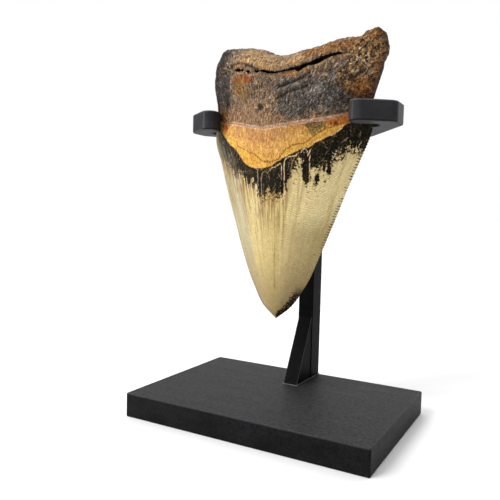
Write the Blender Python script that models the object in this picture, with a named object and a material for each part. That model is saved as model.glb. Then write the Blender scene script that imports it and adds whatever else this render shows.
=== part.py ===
"""Fossil megalodon tooth hanging point down in a black display stand.

Metres, +Z up. The origin is the centre of the base plate's underside. X runs
along the plate's long side, and the tooth turns its rounded tongue-side face
towards -Y. The post, the gusset and the cradle stand behind the tooth.
"""

import bmesh
import bpy
import numpy as np

MM = 0.001
GAP = 0.3 * MM                   # air between pieces that touch

BASE_LENGTH = 140 * MM
BASE_DEPTH = 97 * MM
BASE_THICKNESS = 13.4 * MM
BASE_CORNER = 2.0 * MM
BASE_EDGE = 0.6 * MM

CRADLE_BOTTOM = 162.1 * MM
CRADLE_TOP = 172.9 * MM
CRADLE_EDGE = 0.7 * MM

POST_WIDTH = 9.6 * MM
POST_DEPTH = 12.6 * MM
POST_EDGE = 0.4 * MM

GUSSET_WIDTH = 8.8 * MM
GUSSET_DEPTH = 19.8 * MM
GUSSET_HEIGHT = 37.7 * MM

BASE_BACK = BASE_DEPTH / 2
POST_FRONT = BASE_BACK - POST_DEPTH
GUSSET_FRONT = POST_FRONT - GUSSET_DEPTH

# One side of the cradle seen from above, from the nose's inner end round the
# arm to the back edge: x mm, y mm and the radius of each corner in mm.
CRADLE_OUTER = (
    (40.0, -12.8, 4.6),          # nose
    (46.5, -12.8, 5.0),
    (62.3, -1.1, 6.5),           # outer front corner of the arm
    (62.3, 12.5, 3.0),
    (34.5, BASE_BACK / MM, 3.0),
)
# The same side's inner edge, from the pocket's back wall round to the nose.
CRADLE_INNER = (
    (51.3, 11.35, 4.7),          # notch that takes the tooth's thin side
    (51.3, 1.6, 4.4),
    (46.2, 1.6, 1.6),
    (40.0, -3.0, 2.5),
)

# The tooth's outline, from the tip (0) to the top of the root (1):
# fraction of the height, x mm, z mm.
LEFT_EDGE = (
    (0.00, -1.3, 56.0), (0.05, -9.4, 62.5), (0.12, -16.7, 74.0), (0.24, -25.0, 91.8),
    (0.36, -31.9, 109.2), (0.49, -38.9, 127.6), (0.60, -44.8, 145.0), (0.67, -48.6, 155.5),
    (0.73, -48.8, 164.0), (0.79, -46.8, 172.5), (0.85, -45.6, 180.5), (0.92, -45.4, 190.5),
    (0.97, -43.7, 198.5), (1.00, -41.6, 203.6),
)
RIGHT_EDGE = (
    (0.00, -1.3, 56.0), (0.05, 7.4, 63.0), (0.12, 15.5, 74.8), (0.24, 23.3, 92.6),
    (0.36, 29.7, 110.0), (0.49, 36.2, 128.6), (0.60, 42.9, 145.6), (0.67, 46.9, 155.8),
    (0.74, 48.4, 165.4), (0.80, 48.2, 173.6), (0.85, 50.6, 180.5), (0.92, 54.4, 191.5),
    (0.97, 57.0, 200.0), (1.00, 55.6, 206.4),
)
# The root's top between its two lobes: fraction of the width, x mm, z mm.
TOP_EDGE = (
    (0.00, -41.6, 203.6), (0.06, -36.4, 207.8), (0.16, -26.0, 207.5), (0.28, -13.0, 205.0),
    (0.42, -0.5, 201.0), (0.56, 13.5, 202.3), (0.72, 28.0, 204.8), (0.88, 43.5, 207.0),
    (0.95, 50.5, 209.0), (1.00, 55.6, 206.4),
)
# The tooth from the side: fraction of the height, then mm along Y. The edge
# is where the two faces meet, and each face stands off it by its depth.
EDGE_Y = (
    (0.00, -2.2), (0.10, -1.3), (0.24, 0.3), (0.36, 2.2), (0.49, 4.0), (0.62, 5.6),
    (0.74, 5.6), (0.84, 3.0), (0.93, 0.6), (1.00, -0.6),
)
FRONT_DEPTH = (
    (0.00, 0.0), (0.02, 1.6), (0.05, 3.2), (0.12, 6.2), (0.24, 9.8), (0.36, 12.8),
    (0.49, 16.0), (0.62, 19.4), (0.74, 21.2), (0.84, 19.0), (0.93, 16.4), (1.00, 14.6),
)
BACK_DEPTH = (
    (0.00, 0.0), (0.02, 1.0), (0.05, 1.8), (0.12, 3.0), (0.24, 4.2), (0.36, 4.8),
    (0.49, 5.0), (0.62, 5.0), (0.74, 5.4), (0.84, 7.6), (0.93, 9.8), (1.00, 10.2),
)
ROOT_START = 0.75                # the thin crown section swells into the root
ROOT_FULL = 0.88
CROWN_SECTION = (2.0, 0.98)      # exponents of the section across the width
ROOT_SECTION = (3.4, 0.52)
TOP_ROLL = 0.915                 # above this the root rounds over to its top
TOP_ROLL_SHAPE = 2.7
TOOTH_COLUMNS = 28
TOOTH_ROWS = 48

SCREW_SIDES = 24


def clear_scene():
    for thing in list(bpy.data.objects):
        bpy.data.objects.remove(thing, do_unlink=True)


def finish_material(name, colour, roughness, metallic=0.0):
    material = bpy.data.materials.new(name)
    material.use_nodes = True
    shader = material.node_tree.nodes["Principled BSDF"]
    shader.inputs["Base Color"].default_value = (*colour, 1.0)
    shader.inputs["Roughness"].default_value = roughness
    shader.inputs["Metallic"].default_value = metallic
    return material


def add_object(name, bm, material):
    mesh = bpy.data.meshes.new(name)
    bm.to_mesh(mesh)
    bm.free()
    mesh.materials.append(material)
    mesh.shade_smooth()
    mesh.set_sharp_from_angle(angle=np.radians(35))
    thing = bpy.data.objects.new(name, mesh)
    bpy.context.collection.objects.link(thing)
    return thing


def cut(thing, cutter):
    cutter.hide_render = True
    cutter.display_type = 'WIRE'
    hole = thing.modifiers.new(cutter.name, 'BOOLEAN')
    hole.operation = 'DIFFERENCE'
    hole.solver = 'EXACT'
    hole.object = cutter


# Prisms: the base plate, the post, the gusset and the cradle

def bevel_edges(bm, edges, width, segments):
    bmesh.ops.bevel(bm, geom=edges, offset=width, offset_type='OFFSET', affect='EDGES',
                    segments=segments, profile=0.5, material=-1, clamp_overlap=True)


def prism(corners, bottom, top, edge_width, arc_segments=6):
    """Upright prism over (x, y, radius) corners given anticlockwise."""
    bm = bmesh.new()
    floor = bm.faces.new([bm.verts.new((x, y, bottom)) for x, y, _ in corners])
    extruded = bmesh.ops.extrude_face_region(bm, geom=[floor], use_keep_orig=True)
    lifted = [v for v in extruded["geom"] if isinstance(v, bmesh.types.BMVert)]
    bmesh.ops.translate(bm, verts=lifted, vec=(0, 0, top - bottom))
    bmesh.ops.recalc_face_normals(bm, faces=bm.faces)
    for index, (x, y, radius) in enumerate(corners):
        before = np.array(corners[index - 1][:2]) - (x, y)
        after = np.array(corners[(index + 1) % len(corners)][:2]) - (x, y)
        inside = np.arccos(before @ after / np.linalg.norm(before) / np.linalg.norm(after))
        upright = [e for e in bm.edges
                   if all(np.hypot(v.co.x - x, v.co.y - y) < 0.01 * MM for v in e.verts)]
        bevel_edges(bm, upright, radius / np.tan(inside / 2), arc_segments)
    if edge_width:
        rims = [e for e in bm.edges
                if all(abs(v.co.z - bottom) < 1e-6 for v in e.verts)
                or all(abs(v.co.z - top) < 1e-6 for v in e.verts)]
        bevel_edges(bm, rims, edge_width, 1)
    return bm


def rectangle(width, front, back, radius):
    half = width / 2
    return [(-half, front, radius), (half, front, radius),
            (half, back, radius), (-half, back, radius)]


def make_base(material):
    outline = rectangle(BASE_LENGTH, -BASE_BACK, BASE_BACK, BASE_CORNER)
    bm = prism(outline, 0.0, BASE_THICKNESS, BASE_EDGE, arc_segments=4)
    return add_object("base_plate", bm, material)


def make_post(material):
    outline = rectangle(POST_WIDTH, POST_FRONT, BASE_BACK, POST_EDGE)
    bm = prism(outline, BASE_THICKNESS + GAP, CRADLE_BOTTOM - GAP, 0.0, arc_segments=1)
    return add_object("post", bm, material)


def make_gusset(material):
    """Right-angled wedge in front of the post, narrower than it."""
    half = GUSSET_WIDTH / 2
    foot = BASE_THICKNESS + GAP
    back = POST_FRONT - GAP
    bm = bmesh.new()
    side = bm.faces.new([bm.verts.new(point) for point in (
        (-half, GUSSET_FRONT, foot),
        (-half, back, foot + GUSSET_HEIGHT),
        (-half, back, foot),
    )])
    extruded = bmesh.ops.extrude_face_region(bm, geom=[side], use_keep_orig=True)
    moved = [v for v in extruded["geom"] if isinstance(v, bmesh.types.BMVert)]
    bmesh.ops.translate(bm, verts=moved, vec=(GUSSET_WIDTH, 0, 0))
    bmesh.ops.recalc_face_normals(bm, faces=bm.faces)
    return add_object("gusset", bm, material)


def make_cradle(material):
    """Plate with two arms: a pocket for the tooth, notched at both sides."""
    half = CRADLE_OUTER + tuple((-x, y, r) for x, y, r in reversed(CRADLE_OUTER))
    pocket = tuple((-x, y, r) for x, y, r in reversed(CRADLE_INNER)) + CRADLE_INNER
    outline = [(x * MM, y * MM, r * MM) for x, y, r in half + pocket]
    bm = prism(outline, CRADLE_BOTTOM, CRADLE_TOP, CRADLE_EDGE)
    return add_object("cradle", bm, material)


# Screws: flat heads let into the base's underside and the cradle's top

def turned(profile, place, upside_down=False):
    """Solid of revolution about Z through (radius, depth below the head)."""
    bm = bmesh.new()
    sign = 1 if upside_down else -1
    points = [bm.verts.new((radius, 0, sign * depth)) for radius, depth in profile]
    edges = [bm.edges.new(pair) for pair in zip(points, points[1:])]
    bmesh.ops.spin(bm, geom=points + edges, cent=(0, 0, 0), axis=(0, 0, 1),
                   angle=2 * np.pi, steps=SCREW_SIDES, use_merge=True)
    bmesh.ops.remove_doubles(bm, verts=bm.verts, dist=0.001 * MM)
    bmesh.ops.recalc_face_normals(bm, faces=bm.faces)
    bmesh.ops.translate(bm, verts=bm.verts, vec=place)
    return bm


def make_screw(name, place, shank_radius, length, upside_down, held, material):
    """Countersunk screw and the hole for it through every held piece."""
    head_radius = 1.9 * shank_radius
    head_depth = 1.15 * shank_radius
    tip = 0.7 * shank_radius
    screw = ((0, GAP), (head_radius, GAP), (shank_radius, GAP + head_depth),
             (shank_radius, length - tip), (tip, length), (0, length))
    wide = head_radius + GAP
    snug = shank_radius + GAP
    hole = ((0, -3 * GAP), (wide, -3 * GAP), (wide, GAP), (snug, GAP + head_depth),
            (snug, length + GAP), (0, length + GAP))
    cutter = add_object(name + "_hole", turned(hole, place, upside_down), material)
    for thing in held:
        cut(thing, cutter)
    return add_object(name, turned(screw, place, upside_down), material)


# The tooth

def through(points, t):
    """Smooth curve through (t, values...) points, read at the array t."""
    table = np.array(points, float)
    knots = table[:, 0]
    values = table[:, 1:]
    slopes = np.gradient(values, knots, axis=0)
    cell = np.clip(np.searchsorted(knots, t, side='right') - 1, 0, len(knots) - 2)
    span = (knots[cell + 1] - knots[cell])[:, None]
    s = (t - knots[cell])[:, None] / span
    return ((2 * s**3 - 3 * s**2 + 1) * values[cell] + (s**3 - 2 * s**2 + s) * span * slopes[cell]
            + (3 * s**2 - 2 * s**3) * values[cell + 1] + (s**3 - s**2) * span * slopes[cell + 1])


def ramp(low, high, x):
    s = np.clip((x - low) / (high - low), 0, 1)
    return s * s * (3 - 2 * s)


def tooth_face(across, up, side):
    """Points of one face: across is -1 to 1, up is 0 to 1, side -1 is the front."""
    share = ((across + 1) / 2)[:, None]
    rise = up[:, None]
    tip = np.array(LEFT_EDGE[0][1:])
    left_top = np.array(TOP_EDGE[0][1:])
    right_top = np.array(TOP_EDGE[-1][1:])
    sides = (1 - share) * through(LEFT_EDGE, up) + share * through(RIGHT_EDGE, up)
    ends = (1 - rise) * tip + rise * through(TOP_EDGE, share[:, 0])
    corners = (1 - rise) * tip + rise * ((1 - share) * left_top + share * right_top)
    outline = sides + ends - corners

    root = ramp(ROOT_START, ROOT_FULL, up)
    fullness = CROWN_SECTION[0] + root * (ROOT_SECTION[0] - CROWN_SECTION[0])
    softness = CROWN_SECTION[1] + root * (ROOT_SECTION[1] - CROWN_SECTION[1])
    section = np.clip(1 - np.abs(across) ** fullness, 0, 1) ** softness
    over = np.clip((up - TOP_ROLL) / (1 - TOP_ROLL), 0, 1)
    roll = np.sqrt(1 - over ** TOP_ROLL_SHAPE)
    depth = through(FRONT_DEPTH if side < 0 else BACK_DEPTH, up)[:, 0]
    y = through(EDGE_Y, up)[:, 0] + side * depth * section * roll
    return np.column_stack((outline[:, 0], y, outline[:, 1])) * MM


def spread(fraction, crowding):
    """Crowd evenly spaced fractions towards both ends."""
    eased = (1 - np.cos(np.pi * fraction)) / 2
    return fraction + crowding * (eased - fraction)


def make_tooth(material):
    bm = bmesh.new()
    for side in (-1, 1):
        grid = bmesh.ops.create_grid(bm, x_segments=TOOTH_COLUMNS, y_segments=TOOTH_ROWS, size=1)
        flat = np.array([v.co[:2] for v in grid["verts"]])
        across = 2 * spread((flat[:, 0] + 1) / 2, 0.75) - 1
        up = spread((flat[:, 1] + 1) / 2, 0.55)
        for vert, point in zip(grid["verts"], tooth_face(across, up, side)):
            vert.co = point
    bmesh.ops.remove_doubles(bm, verts=bm.verts, dist=0.002 * MM)
    bmesh.ops.recalc_face_normals(bm, faces=bm.faces)
    return add_object("tooth", bm, material)


def main():
    clear_scene()
    black = finish_material("black_coat", (0.012, 0.012, 0.013), 0.55)
    steel = finish_material("black_screw", (0.03, 0.03, 0.032), 0.4, metallic=1.0)
    fossil = finish_material("fossil", (0.55, 0.45, 0.27), 0.5)

    base = make_base(black)
    post = make_post(black)
    gusset = make_gusset(black)
    cradle = make_cradle(black)
    make_tooth(fossil)

    post_middle = (POST_FRONT + BASE_BACK) / 2
    gusset_middle = POST_FRONT - 0.4 * GUSSET_DEPTH
    make_screw("base_screw_post", (0, post_middle, 0), 2.0 * MM, 26 * MM, True,
               (base, post), steel)
    make_screw("base_screw_gusset", (0, gusset_middle, 0), 2.0 * MM, 22 * MM, True,
               (base, gusset), steel)
    for index, shift in enumerate((-3.5 * MM, 2.4 * MM)):
        make_screw(f"cradle_screw_{index + 1}", (0, post_middle + shift, CRADLE_TOP),
                   1.25 * MM, 19 * MM, False, (cradle, post), steel)


main()
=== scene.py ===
# %% [markdown]
# # A fossil megalodon tooth on its black stand
#
# The real object is one big fossil tooth, hung point down in a forked metal
# cradle. This lesson builds it in Blender around a frame of plain solids that
# fixes every size and place. Each solid is swapped for a finer piece: the stand
# gets rounded edges and a sprayed coat, and the tooth gets its relief, its
# serrated edges, its cracked root and the colours that millions of years left.

import bmesh
import bpy
import numpy as np
from mathutils import Matrix, Vector
from mathutils.noise import fractal


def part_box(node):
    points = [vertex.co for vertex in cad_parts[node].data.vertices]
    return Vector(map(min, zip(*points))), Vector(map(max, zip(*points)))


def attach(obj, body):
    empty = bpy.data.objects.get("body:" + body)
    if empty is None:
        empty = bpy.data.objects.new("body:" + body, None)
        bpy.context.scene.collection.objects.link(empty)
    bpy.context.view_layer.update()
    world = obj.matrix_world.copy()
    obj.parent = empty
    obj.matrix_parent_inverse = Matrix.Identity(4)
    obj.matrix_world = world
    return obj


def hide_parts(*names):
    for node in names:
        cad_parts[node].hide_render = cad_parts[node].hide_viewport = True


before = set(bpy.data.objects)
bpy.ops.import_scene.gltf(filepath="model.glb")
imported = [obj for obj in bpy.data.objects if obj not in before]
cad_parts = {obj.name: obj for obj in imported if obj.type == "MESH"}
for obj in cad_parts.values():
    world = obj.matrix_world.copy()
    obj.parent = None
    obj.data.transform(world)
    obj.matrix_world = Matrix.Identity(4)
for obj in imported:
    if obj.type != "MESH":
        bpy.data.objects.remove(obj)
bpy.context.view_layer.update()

MM = 0.001

# %% [markdown]
# ## The camera
#
# The tooth is seen from a little to its right and from just above the middle
# of the stand. A 41 mm lens on a 36 mm sensor gives the mild perspective in
# which the base's far edge is clearly shorter than the near one. The camera is
# placed by three turns: round the upright, down a few degrees, and a slight
# roll, because a camera on a hand-set tripod is seldom quite level.

# %% Camera
LENS = 40.93
CAMERA_PLACE = Vector((0.14112, -0.28603, 0.11501))
CAMERA_TURN = 0.514
CAMERA_DIP = 0.0654
CAMERA_ROLL = 0.0242

lens = bpy.data.cameras.new("camera")
lens.sensor_width = 36.0
lens.lens = LENS
lens.clip_start = 0.01
lens.clip_end = 50.0
camera = bpy.data.objects.new("camera", lens)
camera.matrix_world = (Matrix.Translation(CAMERA_PLACE)
                       @ Matrix.Rotation(CAMERA_TURN, 4, 'Z')
                       @ Matrix.Rotation(np.pi / 2 - CAMERA_DIP, 4, 'X')
                       @ Matrix.Rotation(CAMERA_ROLL, 4, 'Z'))
bpy.context.scene.collection.objects.link(camera)
bpy.context.scene.camera = camera
print("camera", round(CAMERA_PLACE.length, 3), "m from the origin")

# %% [markdown]
# ## Sums with sockets
#
# A procedural finish is mostly arithmetic: distances, masks and noises that are
# scaled, clipped and multiplied. Wiring each sum by hand hides what it does, so
# a small class wraps a node's output and lets Python's own signs add the Math
# nodes. `1 - mask` then works as it reads. Every other node comes from one
# method that takes its type, its settings and its sockets.


# %% Wires and finishes
def sign(operation, swapped=False):
    """A Math node as a method of a Wire. Swapped is the form for 1 - wire."""
    def method(self, other=0.0):
        first, second = (other, self) if swapped else (self, other)
        return self.finish.node("Math", {"operation": operation}, {0: first, 1: second})
    return method


class Wire:
    """An output of a node that can be used in sums."""

    def __init__(self, finish, socket):
        self.finish = finish
        self.socket = socket

    __add__, __radd__ = sign("ADD"), sign("ADD", swapped=True)
    __sub__, __rsub__ = sign("SUBTRACT"), sign("SUBTRACT", swapped=True)
    __mul__, __rmul__ = sign("MULTIPLY"), sign("MULTIPLY", swapped=True)
    __abs__, sine = sign("ABSOLUTE"), sign("SINE")
    least, most = sign("MINIMUM"), sign("MAXIMUM")


def shade(red, green, blue):
    """Display values from 0 to 255 as the linear colour that a shader takes."""
    display = np.array((red, green, blue)) / 255
    linear = np.where(display > 0.04045, ((display + 0.055) / 1.055) ** 2.4, display / 12.92)
    return tuple(float(part) for part in linear)


class Finish:
    """The nodes of one material, or of the world, and the one way to make them."""

    def __init__(self, block):
        block.use_nodes = True
        self.block = block
        self.tree = block.node_tree
        self.shader = next(node for node in self.tree.nodes if node.outputs)

    def node(self, kind, settings=None, sockets=None, output=0):
        made = self.tree.nodes.new("ShaderNode" + kind)
        for name, value in (settings or {}).items():
            setattr(made, name, value)
        for name, value in (sockets or {}).items():
            self.feed(made.inputs[name], value)
        return Wire(self, made.outputs[output])

    def feed(self, socket, value):
        if isinstance(value, Wire):
            self.tree.links.new(value.socket, socket)
        elif socket.type == 'RGBA':
            socket.default_value = (*value, 1.0)
        else:
            socket.default_value = value

    def surface(self, **sockets):
        """Base_Color stands for the shader's socket Base Color, and so on."""
        for name, value in sockets.items():
            self.feed(self.shader.inputs[name.replace("_", " ")], value)

    def place(self):
        return self.node("TexCoord", output="Object")

    def read(self, attribute):
        return self.node("Attribute", {"attribute_name": attribute}, output="Fac")

    def vector(self, x, y, z):
        return self.node("CombineXYZ", None, {0: x, 1: y, 2: z})

    def noise(self, place, scale, detail=2.0, roughness=0.5, distortion=0.0):
        return self.node("TexNoise", None, {
            "Vector": place, "Scale": scale, "Detail": detail,
            "Roughness": roughness, "Distortion": distortion})

    def step(self, value, low, high):
        """0 below low, 1 above high and a soft rise between."""
        return self.node("MapRange", {"interpolation_type": 'SMOOTHSTEP'}, {
            "Value": value, "From Min": low, "From Max": high})

    def mix(self, share, first, second, how='MIX'):
        return self.node("Mix", {"data_type": 'RGBA', "blend_type": how},
                         {0: share, 6: first, 7: second}, output=2)

    def paint(self, colour, *layers):
        """Layers of (share, tint) laid on the colour one after another."""
        for share, tint in layers:
            colour = self.mix(share, colour, tint if isinstance(tint, Wire) else shade(*tint))
        return colour

    def flicker(self, colour, pattern, strength):
        """The colour made lighter and darker by a pattern that lies around a half."""
        return self.mix(1.0, colour, ((pattern - 0.5) * strength + 1.0).most(0.2), 'MULTIPLY')

    def bump(self, height, strength, reach):
        return self.node("Bump", None, {"Height": height, "Strength": strength,
                                        "Distance": reach})


print("mid grey is", round(shade(128, 128, 128)[0], 3), "in a shader")

# %% [markdown]
# ## The room
#
# Product shots of dark things are made on a white sweep with large soft lamps.
# The floor and the backdrop are white. The room in front, behind the camera,
# is darker, so that the black faces turned to it stay black, and the faces that
# mirror the backdrop go grey. A broad soft light comes from overhead and a key
# light from high at the front left. A strip lamp at the left draws the upright
# highlights on the cradle.

# %% Floor, backdrop and lamps
ROOM_FRONT = 0.04                # strength of the room's light before and behind
ROOM_BACK = 0.90
FLOOR_HALF = 20.0

bpy.context.scene.view_settings.view_transform = 'Standard'

sweep = Finish(bpy.data.materials.new("white_sweep"))
sweep.surface(Base_Color=sweep.paint(
    shade(250, 250, 250), (sweep.noise(sweep.place(), 3.0), (252, 252, 252))), Roughness=0.6)

bm = bmesh.new()
bmesh.ops.create_grid(bm, x_segments=1, y_segments=1, size=FLOOR_HALF)
mesh = bpy.data.meshes.new("floor")
bm.to_mesh(mesh)
bm.free()
mesh.materials.append(sweep.block)
floor = bpy.data.objects.new("floor", mesh)
bpy.context.scene.collection.objects.link(floor)

bpy.context.scene.world = bpy.data.worlds.new("room")
room = Finish(bpy.context.scene.world)
towards = room.node("TexCoord", output="Generated")
behind = room.step(room.node("SeparateXYZ", None, {0: towards}, output="Y"), 0.20, 0.90)
glow = ROOM_FRONT + (ROOM_BACK - ROOM_FRONT) * behind
seen = room.node("LightPath", output="Is Camera Ray")
room.surface(Color=(1.0, 1.0, 1.0), Strength=glow + seen * (1.0 - glow))


def add_lamp(name, matrix, kind, energy, **settings):
    lamp = bpy.data.lights.new(name, kind)
    lamp.energy = energy
    for setting, value in settings.items():
        setattr(lamp, setting, value)
    thing = bpy.data.objects.new(name, lamp)
    thing.matrix_world = matrix
    bpy.context.scene.collection.objects.link(thing)


def add_sun(name, towards, energy, angle):
    """A lamp so far off that it lights the whole floor evenly."""
    add_lamp(name, Vector(towards).to_track_quat('Z', 'Y').to_matrix().to_4x4(), 'SUN',
             energy, angle=np.radians(angle))


STRIP_PLACE = Vector((-0.72, -0.45, 0.26))
STRIP_TARGET = Vector((0.0, 0.0, 0.16))
strip_aim = (STRIP_TARGET - STRIP_PLACE).to_track_quat('-Z', 'Y').to_matrix().to_4x4()
add_lamp("left_strip", Matrix.Translation(STRIP_PLACE) @ strip_aim, 'AREA', 4.0,
         shape='RECTANGLE', size=0.16, size_y=0.50)
add_sun("overhead", (-0.22, 0.12, 1.0), 2.35, 100)
add_sun("key", (-0.55, -0.95, 1.0), 1.75, 25)

# %% [markdown]
# ## The black coat
#
# The stand is steel and wood sprayed with a matt black lacquer. Such a coat is
# never one flat black: the spray leaves a fine orange-peel grain, rubbing leaves
# faint cloudy patches that are a little smoother, and the coat thins to grey on
# the edges. The bevelled edge faces of every piece carry a value that the finish
# reads, so these marks sit exactly on the edges. Upper rims are painted light
# grey, partly the thinned coat and partly a painted highlight, and lower rims are
# painted dark, a painted shade. The base's top side is painted lighter, a painted
# sheen, and the cradle's underside is painted lighter, a painted reflection of the
# white floor, and made rougher.

# %% Black coat
def make_black_coat(name, tone, gloss, shine, grain, flicker, highlight_above, wear_and_highlight, painted_sheen_above=1.0,
                    rough_and_lit_below=-1.0):
    """tone is the black's display value, gloss its roughness. Rim faces higher
    than highlight_above are painted light by wear_and_highlight, partly the
    thinned coat and partly a painted highlight, and those below it are painted
    dark, a painted shade. Above painted_sheen_above the top side is painted
    lighter, a painted sheen. Below rough_and_lit_below the underside is rougher
    and painted lighter, a painted reflection of the floor."""
    coat = Finish(bpy.data.materials.new(name))
    step, place = coat.step, coat.place()
    cloud = coat.noise(place, 38.0, 5.0, 0.6)
    brushed = coat.node("Mapping", None, {"Vector": place, "Scale": (18.0, 150.0, 150.0)})
    wiped = coat.noise(brushed, 1.0, 4.0, 0.65)
    fine = coat.noise(place, grain, 3.0, 0.7)
    speck = coat.noise(place, grain * 0.45)
    rim_wear_and_light = coat.read("rim_wear_and_light") * (0.45 + 0.55 * coat.noise(place, 160.0, 3.0))
    height = coat.node("SeparateXYZ", None, {0: place}, output=2)
    high = step(height, highlight_above, highlight_above + 1.0 * MM)
    under = step(height, rough_and_lit_below + 0.1 * MM, rough_and_lit_below)

    black = coat.paint(
        shade(tone - 7, tone - 7, tone - 6),
        (step(cloud * 0.5 + wiped * 0.3 + fine * 0.2, 0.35, 0.65), (tone + 7, tone + 7, tone + 9)),
        # The top side is painted lighter: a painted sheen.
        (step(height, painted_sheen_above - 0.4 * MM, painted_sheen_above - 0.1 * MM),
         (tone + 26, tone + 26, tone + 27)),
        # The underside is painted lighter: a painted reflection of the white floor.
        (under, (tone + 20, tone + 20, tone + 21)))
    black = coat.flicker(black, fine * 0.6 + speck * 0.4, flicker)
    coat.surface(
        # Rims below the line are painted dark, a painted shade. Rims above it are painted light
        # grey, partly the thinned coat and partly a painted highlight.
        Base_Color=coat.paint(black, (rim_wear_and_light * (1 - high), (8, 8, 9)),
                              (rim_wear_and_light * high * wear_and_highlight, (118, 118, 122))),
        Roughness=(gloss + 0.10 * (cloud - 0.5) + 0.14 * (wiped - 0.5) - 0.08 * rim_wear_and_light
                   + under * 0.35),
        Normal=coat.bump(fine + 0.6 * speck, 0.6, 0.05 * MM * flicker),
        Specular_IOR_Level=shine)
    return coat.block


# The base's top side is painted lighter, a painted sheen.
base_coat = make_black_coat("black_coat_base", 16, 0.50, 0.07, 1300.0, 4.8, 8.0 * MM, 0.15,
                            painted_sheen_above=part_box("base_plate")[1].z)
post_coat = make_black_coat("black_coat_post", 9, 0.50, 0.03, 1900.0, 2.0, 0.0, 0.45)
# The bead is painted light grey all over: a painted highlight along the post's foot.
bead_coat = make_black_coat("black_coat_bead", 24, 0.45, 0.10, 1300.0, 2.0, 0.0, 1.0)
# The cradle's underside is rougher and painted lighter, a painted reflection of the floor.
cradle_coat = make_black_coat("black_coat_cradle", 46, 0.31, 0.08, 2400.0, 0.4, 168.0 * MM, 0.5,
                              rough_and_lit_below=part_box("cradle")[0].z + 0.1 * MM)
print("coats:", base_coat.name, post_coat.name, bead_coat.name, cradle_coat.name)

# %% [markdown]
# ## Pieces of the stand
#
# Every stand piece is an upright prism with rounded corners and a small
# rounding on its rims, so one function makes them all. A polygon is lifted with
# an extrude, each upright edge is bevelled by its own radius, and then the top
# and bottom rims are bevelled together. The faces of that last bevel are
# marked as rim faces, which the finish paints light on the upper rims and dark
# on the lower ones. Screw holes are cut with a Boolean, which is applied at once,
# so that the finished piece is one plain mesh.


# %% Prisms
ARC_STEPS = 14
EDGE_STEPS = 4
SAME_PLACE = 1e-6                # two heights nearer than this are one, m


def bevel_edges(bm, edges, width, segments, marks_rim=False):
    made = bmesh.ops.bevel(bm, geom=edges, offset=width, offset_type='OFFSET', affect='EDGES',
                           segments=segments, profile=0.5, material=-1, clamp_overlap=True)
    rim_wear_and_light = bm.faces.layers.float["rim_wear_and_light"]
    for face in made["faces"] if marks_rim else ():
        face[rim_wear_and_light] = 1.0


def extruded(points, shift):
    """The solid between a polygon and its copy, which is moved by shift."""
    bm = bmesh.new()
    bm.faces.layers.float.new("rim_wear_and_light")
    polygon = bm.faces.new([bm.verts.new(point) for point in points])
    made = bmesh.ops.extrude_face_region(bm, geom=[polygon], use_keep_orig=True)
    moved = [v for v in made["geom"] if isinstance(v, bmesh.types.BMVert)]
    bmesh.ops.translate(bm, verts=moved, vec=shift)
    bmesh.ops.recalc_face_normals(bm, faces=bm.faces)
    return bm


def prism(corners, bottom, top, edge_width, arc_steps=ARC_STEPS):
    """Upright prism over (x, y, radius) corners given anticlockwise."""
    bm = extruded([(x, y, bottom) for x, y, _ in corners], (0, 0, top - bottom))
    for index, (x, y, radius) in enumerate(corners):
        before = np.array(corners[index - 1][:2]) - (x, y)
        after = np.array(corners[(index + 1) % len(corners)][:2]) - (x, y)
        inside = np.arccos(before @ after / np.linalg.norm(before) / np.linalg.norm(after))
        upright = [e for e in bm.edges
                   if all(np.hypot(v.co.x - x, v.co.y - y) < 0.01 * MM for v in e.verts)]
        bevel_edges(bm, upright, radius / np.tan(inside / 2), arc_steps)
    rims = [e for e in bm.edges
            if all(abs(v.co.z - bottom) < SAME_PLACE for v in e.verts)
            or all(abs(v.co.z - top) < SAME_PLACE for v in e.verts)]
    bevel_edges(bm, rims, edge_width, EDGE_STEPS, marks_rim=True)
    return bm


def rectangle(low, high, radius):
    return [(low.x, low.y, radius), (high.x, low.y, radius),
            (high.x, high.y, radius), (low.x, high.y, radius)]


def add_piece(name, bm, material, sharp=35):
    mesh = bpy.data.meshes.new(name)
    bm.to_mesh(mesh)
    bm.free()
    mesh.materials.append(material)
    mesh.shade_smooth()
    if sharp:
        mesh.set_sharp_from_angle(angle=np.radians(sharp))
    thing = bpy.data.objects.new(name, mesh)
    bpy.context.scene.collection.objects.link(thing)
    return thing


def keep_planes_flat(thing):
    """Plane faces shade flat and the strips of the roundings shade smooth."""
    mesh = thing.data
    for face in mesh.polygons:
        corners = [mesh.vertices[index].co for index in face.vertices]
        shortest = min((corners[i] - corners[i - 1]).length for i in range(len(corners)))
        face.use_smooth = len(corners) == 4 and shortest < 1.0 * MM


def stand_for(thing, node):
    """The piece shows in place of the frame's solid and rides on the root."""
    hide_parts(node)
    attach(thing, "root")
    print(thing.name, "faces:", len(thing.data.polygons))


def cut(thing, cutter):
    """Cut at once, so that no modifier stays on the piece."""
    hole = thing.modifiers.new("hole", 'BOOLEAN')
    hole.operation = 'DIFFERENCE'
    hole.solver = 'EXACT'
    hole.object = cutter
    graph = bpy.context.evaluated_depsgraph_get()
    finished = bpy.data.meshes.new_from_object(thing.evaluated_get(graph))
    finished.name = thing.name
    thing.modifiers.clear()
    thing.data = finished
    bpy.data.objects.remove(cutter, do_unlink=True)


# %% [markdown]
# ## Screws
#
# A stand like this is screwed together with countersunk socket screws: two come
# up through the base, and two go down through the cradle into the post. A
# screw is turned, so its profile is spun about Z. The hexagon socket is a
# six-sided cutter. The threads stay hidden in the pieces, so they are left out.

# %% Screws and their holes
SCREW_STEPS = 48
AIR = 0.3 * MM


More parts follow.
